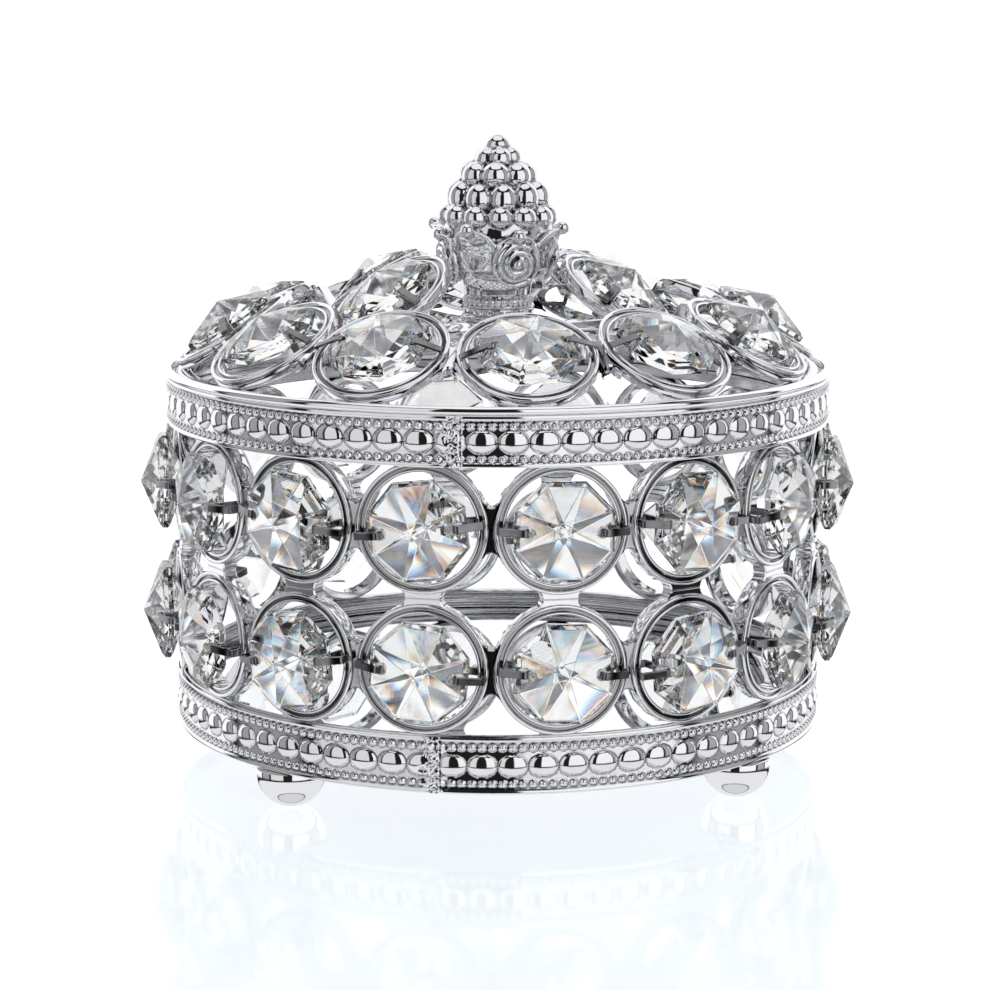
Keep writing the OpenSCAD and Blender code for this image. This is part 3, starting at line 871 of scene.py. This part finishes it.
def leaf(turn, rise, curl):
    """A leaf that rises from the cup and curls out at its tip, with a midrib and veins. A horn
    runs up its back and ends in a ball."""
    along = np.linspace(0, 1, 26)
    across = np.linspace(-1, 1, 17)
    s, u = np.meshgrid(along, across, indexing="ij")
    wide = 3.5 * np.sqrt(np.clip(1 - s ** 3, 0, 1)) * (0.75 + 0.25 * np.sin(math.pi * s)) + 0.4
    r = LEAF_R + LEAF_SPREAD * s + curl * s ** 3 - 0.5 * u * u * (1 - s)
    z = LEAF_Z + rise * s - LEAF_DROOP * s ** 6
    rib = 0.3 * np.exp(-(u / 0.16) ** 2) * (1 - s) + 0.07 * np.cos((np.abs(u) * 3 - s * 9)) * (1 - u * u)
    edge = np.clip(1 - u * u, 0, 1) ** 0.4 * (0.45 + 0.3 * s) + 0.14
    sides = [np.stack([wide * u, -(r + face), z], -1).reshape(-1, 3) for face in (rib + edge, -edge)]
    rows, columns = s.shape
    count = rows * columns
    faces = []
    for i in range(rows - 1):
        for j in range(columns - 1):
            a = i * columns + j
            faces.append((a, a + 1, a + columns + 1, a + columns))
            faces.append(tuple(count + x for x in (a + columns, a + columns + 1, a + 1, a)))
    border = (list(range(columns)) + [i * columns + columns - 1 for i in range(1, rows)]
              + [(rows - 1) * columns + j for j in range(columns - 2, -1, -1)]
              + [i * columns for i in range(rows - 2, 0, -1)])
    for a, b in zip(border, border[1:] + border[:1]):
        faces.append((a, count + a, count + b, b))
    t = np.linspace(0.35, 1, 12)
    path = np.stack([0 * t, -(HORN_R + LEAF_SPREAD * t + curl * t ** 3),
                     LEAF_Z + rise * t - LEAF_DROOP * t ** 6], 1)
    horn = tube(path, 0.3 + 0.75 * t ** 2, 14)
    horn_ball = ball(path[-1], HORN_BALL_R, HORN_BALL_R)
    about = Matrix.Rotation(math.radians(turn), 4, "Z")
    return [moved(shell, about) for shell in ((np.vstack(sides), faces), horn, horn_ball)]


def cast_together(name, shells, finish, grain):
    """One casting from shells that run into each other, melted together at that grain size."""
    rough = make_piece(name + "_pattern", shells, finish)
    melt = rough.modifiers.new("melt", "REMESH")
    melt.mode = "VOXEL"
    melt.voxel_size = grain * MM
    ease = rough.modifiers.new("ease", "SMOOTH")
    ease.factor = 0.5
    ease.iterations = 2
    made = bpy.data.meshes.new_from_object(rough.evaluated_get(bpy.context.evaluated_depsgraph_get()))
    bpy.data.objects.remove(rough)
    made.name = name
    made.shade_smooth()
    made.materials.clear()
    made.materials.append(finish)
    piece = bpy.data.objects.new(name, made)
    bpy.context.scene.collection.objects.link(piece)
    return piece


tip_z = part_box("finial")[1].z / MM
core = [(0, COLLAR_TOP), (5.3, COLLAR_TOP), (5.3, 69.0), (5.0, 69.3), (5.0, 70.4), (5.2, 72.2),
        (5.8, 73.6), (7.4, 75.2), (8.3, 77.6), (8.5, 79.5), (8.2, 81.5), (6.9, 83.5), (6.2, 86),
        (4.2, 89), (2.4, 91.6), (1.0, 93.4), (0, 93.6)]
finial_shells = [turned(rounded(core, 0.5, closed=False), 96, closed=False),
                 ball((0, 0, tip_z - TIP_BALL_R), TIP_BALL_R, TIP_BALL_R)]
for height, away, wide, tall, count, turn in TIERS:
    for i in range(count):
        wobble = 0.12 * math.sin(5.1 * i + height)
        at = round_axis(turn + 360 * i / count, away, height + wobble)
        finial_shells.append(ball(at, wide, tall))
for i in range(4):
    finial_shells += leaf(LEAF_TURN + 90 * i, 7.4, 1.8)
    finial_shells += leaf(LEAF_TURN + 45 + 90 * i, 6.4, 0.4)
    finial_shells += scroll(SCROLL_TURN + 90 * i)
for i in range(NECK_BEADS):
    at = round_axis(360 * i / NECK_BEADS, NECK_BEAD_R, NECK_BEAD_Z)
    finial_shells.append(ball(at, 0.42, 0.6, 12))
for i in range(PEBBLES):
    height = PEBBLE_LOW + PEBBLE_SPAN * (i + 0.5) / PEBBLES
    at = round_axis(i * PEBBLE_TURN, 6.6 + 1.8 * ((height - PEBBLE_LOW) / PEBBLE_SPAN) ** 0.6, height)
    finial_shells.append(ball(at, PEBBLE_R, PEBBLE_R, 8))
# Its last tone is the painted shade that darkens the hollows of the casting.
finial_chrome = metal("finial_chrome", (0.93, 0.93, 0.94), (0.72, 0.72, 0.75), 0.04, 300.0, 0.1, 0.00002,
                      crevice_shade_tone=0.04)
finial = cast_together("finial_fruit_cluster", finial_shells, finial_chrome, MELT_GRAIN)
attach(finial, "lid")
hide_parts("finial")


# ---- Finial collar and fixing ----------------------------------------------------------------
# A stepped collar hides the joint between neck and dish. A steel stud, washer and nut under
# the dish pull the handle tight.

collar_low, collar_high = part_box("finial_collar")
collar_z = (collar_low.z / MM, collar_high.z / MM)
collar_r = collar_high.x / MM
COLLAR_STEP = 0.35
collar_core = rounded([(0, collar_z[0]), (collar_r, collar_z[0]), (collar_r, collar_z[0] + 0.8),
                       (collar_r - COLLAR_STEP, collar_z[0] + 1.0), (collar_r - COLLAR_STEP, collar_z[1]),
                       (0, collar_z[1])], 0.25, closed=False)
collar = make_piece("finial_stepped_collar", [turned(collar_core, 144, closed=False)], finial_chrome)
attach(collar, "lid")
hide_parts("finial_collar")

stud_low, stud_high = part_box("finial_stud")
stud_r = stud_high.x / MM
THREAD_PITCH, THREAD_DEPTH = 0.5, 0.16
stud_z = np.arange(stud_low.z / MM + 0.3, stud_high.z / MM - 0.3, THREAD_PITCH / 2)
stud_profile = [(0, stud_low.z / MM), (stud_r - 0.4, stud_low.z / MM),
                *[(stud_r - THREAD_DEPTH * (i % 2), z) for i, z in enumerate(stud_z)],
                (stud_r - 0.4, stud_high.z / MM), (0, stud_high.z / MM)]
stud = make_piece("finial_threaded_stud", [turned(stud_profile, 48, closed=False)], screw_steel)

nut_low, nut_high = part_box("finial_nut")
nut_r = nut_high.x / MM
hexagon = rounded([(nut_r * math.cos(math.radians(60 * i)), nut_r * math.sin(math.radians(60 * i)))
                   for i in range(6)], 0.3, 3)
nut_height = (nut_high.z - nut_low.z) / MM
nut = make_piece("finial_hex_nut",
                 [moved(plate(hexagon, nut_height / 2, 0.25),
                        Matrix.Translation((0, 0, (nut_low.z + nut_high.z) / 2 / MM)))], screw_steel)

washer_low, washer_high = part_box("finial_washer")
washer_in, washer_out = stud_r + 0.1, washer_high.x / MM
washer_z = (washer_low.z / MM, washer_high.z / MM)
washer_profile = rounded([(washer_in, washer_z[0]), (washer_out, washer_z[0]),
                          (washer_out, washer_z[1]), (washer_in, washer_z[1])], 0.12)
washer = make_piece("finial_flat_washer", [turned(washer_profile, 72)], screw_steel)
for piece, node in ((stud, "finial_stud"), (nut, "finial_nut"), (washer, "finial_washer")):
    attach(piece, "lid")
    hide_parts(node)


# ---- Table, light and camera -----------------------------------------------------------------
# A plain white table in a white studio. Tall soft panels stand round the box with dark gaps
# between them, under a white ceiling. Only the camera sees the table, so that the metal mirrors
# the light below it, as it would on a small stand.

TABLE_R = 3000
TABLE_THICK = 2
table_mesh = bpy.data.meshes.new("table")
table_points, table_faces = turned([(0, -TABLE_THICK), (TABLE_R, -TABLE_THICK), (TABLE_R, 0), (0, 0)], 96,
                                   closed=False)
table_mesh.from_pydata(table_points * MM, [], table_faces)
table = bpy.data.objects.new("table", table_mesh)
bpy.context.scene.collection.objects.link(table)
white = bpy.data.materials.new("white_table")
white.use_nodes = True
white_shader = white.node_tree.nodes["Principled BSDF"]
white_shader.inputs["Base Color"].default_value = (0.38, 0.42, 0.45, 1)
white_shader.inputs["Roughness"].default_value = 0.07
white_shader.inputs["Specular IOR Level"].default_value = 0.35
white_shader.inputs["Emission Color"].default_value = (0.94, 0.975, 1, 1)
white_shader.inputs["Emission Strength"].default_value = 0.72
table_mesh.materials.append(white)
table.visible_glossy = False
table.visible_transmission = False
table.visible_diffuse = False

world = bpy.data.worlds.new("studio")
bpy.context.scene.world = world
world.use_nodes = True
sky = world.node_tree
background = sky.nodes["Background"]
direction = sky.nodes.new("ShaderNodeTexCoord").outputs["Generated"]
parts = sky.nodes.new("ShaderNodeSeparateXYZ")
sky.links.new(direction, parts.inputs[0])
bearing = math_node(sky, "ARCTAN2", parts.outputs["X"],
                    math_node(sky, "MULTIPLY", parts.outputs["Y"], -1.0))
bearing = math_node(sky, "MULTIPLY", bearing, 180 / math.pi)
rising = math_node(sky, "MULTIPLY", math_node(sky, "ARCSINE", parts.outputs["Z"], 0.0), 180 / math.pi)


def between(value, low, high, soft):
    """1 where the value is from low to high, 0 outside, with soft edges."""
    sides = []
    for limit, sign in ((low, 1.0), (high, -1.0)):
        step = math_node(sky, "MULTIPLY", math_node(sky, "SUBTRACT", value, limit), sign / soft)
        clamped = sky.nodes.new("ShaderNodeClamp")
        sky.links.new(math_node(sky, "ADD", step, 0.5), clamped.inputs["Value"])
        sides.append(clamped.outputs[0])
    return math_node(sky, "MULTIPLY", sides[0], sides[1])


DARK = 0.015
BACKDROP = 1.1
# Each lit patch: bearing from and to, height from and to, soft edge, brightness
PANELS = ((8, 66, -17, 46, 2, 1.0), (-66, -22, -17, 46, 2, 0.75), (74, 104, -17, 46, 5, 0.4),
          (-104, -74, -17, 46, 5, 0.35), (110, 190, -17, 56, 4, 1.1), (-190, -110, -17, 56, 4, 1.1),
          (-190, 190, 60, 100, 3, 1.0), (-190, 190, -62, -22, 2, 0.85), (-190, 190, -100, -64, 3, 0.7))
light_sum = DARK
for left, right, low, high, soft, bright in PANELS:
    patch = math_node(sky, "MULTIPLY", between(bearing, left, right, soft),
                      between(rising, low, high, soft))
    light_sum = math_node(sky, "ADD", math_node(sky, "MULTIPLY", patch, bright), light_sum)
seen = sky.nodes.new("ShaderNodeLightPath").outputs["Is Camera Ray"]
strength = math_node(sky, "MAXIMUM", light_sum, math_node(sky, "MULTIPLY", seen, BACKDROP))
sky.links.new(strength, background.inputs["Strength"])
background.inputs["Color"].default_value = (0.985, 0.99, 1, 1)
bpy.context.scene.view_settings.view_transform = "Standard"

LENS = 100.95
CAMERA_AWAY, CAMERA_UP = 0.4238, 0.11555
CAMERA_DOWN, CAMERA_ROLL = 0.178, 0.001
camera_data = bpy.data.cameras.new("camera")
camera_data.lens = LENS
camera_data.clip_start = 0.01
camera = bpy.data.objects.new("camera", camera_data)
bpy.context.scene.collection.objects.link(camera)
camera.location = (0, -CAMERA_AWAY, CAMERA_UP)
camera.rotation_euler = (math.pi / 2 - CAMERA_DOWN, 0, CAMERA_ROLL)
bpy.context.scene.camera = camera
